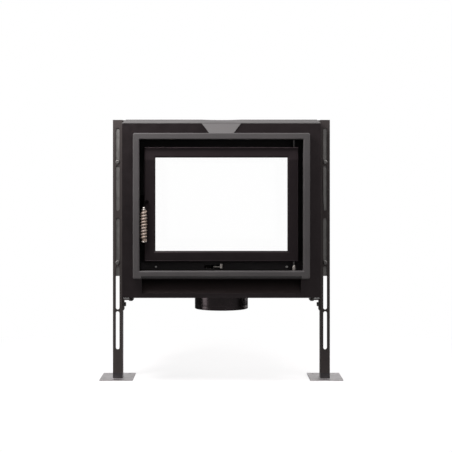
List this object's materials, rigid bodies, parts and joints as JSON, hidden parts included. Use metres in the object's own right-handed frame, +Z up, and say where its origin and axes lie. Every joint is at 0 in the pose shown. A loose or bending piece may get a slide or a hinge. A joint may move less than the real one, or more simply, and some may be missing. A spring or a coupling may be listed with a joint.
{
  "type": "fireplace insert",
  "caption": "See-through wood-burning fireplace insert with a framed glass door, coil-grip handle, bottom air spigot and slotted adjustable legs.",
  "frame": {"origin": "on the floor under the middle of the insert, at the bottom centre of its box", "axes": "+X to the right seen from the front, -Y out of the door side, +Z up"},
  "size_m": [0.675, 0.43, 0.7229],
  "materials": {
    "panel_black": "matt stove paint, fine orange peel",
    "hood_grey": "light grey satin coated sheet",
    "frame_grey": "mid grey satin metallic paint",
    "recess_black": "matt black high-temperature paint",
    "door_black": "satin black stove paint",
    "leg_black": "satin charcoal powder coat",
    "firebox_steel": "welded steel plate, matt",
    "fire_brick": "pressed vermiculite board, matt and grainy",
    "cast_iron": "raw sand-cast iron",
    "zinc_plate": "bright galvanised sheet, satin",
    "dull_zinc": "dull galvanised steel",
    "bright_steel": "bright turned steel",
    "dark_steel": "blackened steel",
    "grip_wire": "warm nickel-brass spring wire, satin",
    "rope_seal": "knitted glass-fibre rope",
    "stove_glass": "clear glass-ceramic pane"
  },
  "bodies": {
    "body": {"front_panel": "panel_black", "rear_panel": "panel_black", "air_ramp": "panel_black", "front_frame": "frame_grey", "rear_frame": "frame_grey", "front_recess_liner": "recess_black", "rear_recess_liner": "recess_black", "casing_right": "panel_black", "casing_left": "panel_black", "base_plate": "panel_black", "top_hood": "hood_grey", "firebox_body": "firebox_steel", "lining_right": "fire_brick", "lining_left": "fire_brick", "hearth_slab": "fire_brick", "ash_pan": "firebox_steel", "grate": "cast_iron", "baffle_rail_right": "firebox_steel", "baffle_rail_left": "firebox_steel", "baffle_plate": "fire_brick", "flue_collar": "cast_iron", "air_box": "firebox_steel", "air_spigot": "panel_black", "hinge_pin_lower": "bright_steel", "hinge_pin_upper": "dark_steel", "latch_keeper": "dark_steel", "rear_glass_seal": "rope_seal", "rear_glass": "stove_glass", "rear_glass_retainer": "recess_black", "upright_right": "dull_zinc", "upright_left": "dull_zinc", "clamp_bolt_right_upper": "dull_zinc", "clamp_bolt_left_upper": "dull_zinc", "clamp_bolt_right_lower": "dull_zinc", "clamp_bolt_left_lower": "dull_zinc", "side_bolt_right_lower": "dull_zinc", "side_bolt_left_lower": "dull_zinc", "side_bolt_right_upper": "dull_zinc", "side_bolt_left_upper": "dull_zinc", "leg_bracket_right": "leg_black", "leg_bracket_left": "leg_black", "bracket_bolt_right": "dark_steel", "bracket_bolt_left": "dark_steel", "cross_bolt_right": "dark_steel", "cross_bolt_left": "dark_steel", "recess_screw_right": "zinc_plate", "recess_screw_left": "zinc_plate"},
    "air_control": {"damper_plate": "firebox_steel", "air_lever": "bright_steel"},
    "door": {"door_frame": "door_black", "door_glass": "stove_glass", "glass_retainer": "firebox_steel", "door_seal": "rope_seal"},
    "handle": {"handle_spindle": "bright_steel", "handle_grip": "grip_wire", "latch_cam": "dark_steel"},
    "leg_unit_right": {"leg_right": "leg_black", "foot_plate_right": "zinc_plate"},
    "leg_unit_left": {"leg_left": "leg_black", "foot_plate_left": "zinc_plate"}
  },
  "joints": [
    {"name": "door_swing", "type": "hinge", "parent": "body", "child": "door", "pos_m": [0.1944, -0.178, 0.49], "axis": [0, 0, 1], "range_deg": [0, 100]},
    {"name": "handle_turn", "type": "hinge", "parent": "door", "child": "handle", "pos_m": [-0.198, -0.18, 0.497], "axis": [0, -1, 0], "range_deg": [0, 90]},
    {"name": "air_slide", "type": "slide", "parent": "body", "child": "air_control", "axis": [1, 0, 0], "range_m": [-0.02, 0.02]},
    {"name": "leg_drop_right", "type": "slide", "parent": "body", "child": "leg_unit_right", "axis": [0, 0, -1], "range_m": [0, 0.085]},
    {"name": "leg_drop_left", "type": "slide", "parent": "body", "child": "leg_unit_left", "axis": [0, 0, -1], "range_m": [0, 0.085]}
  ]
}
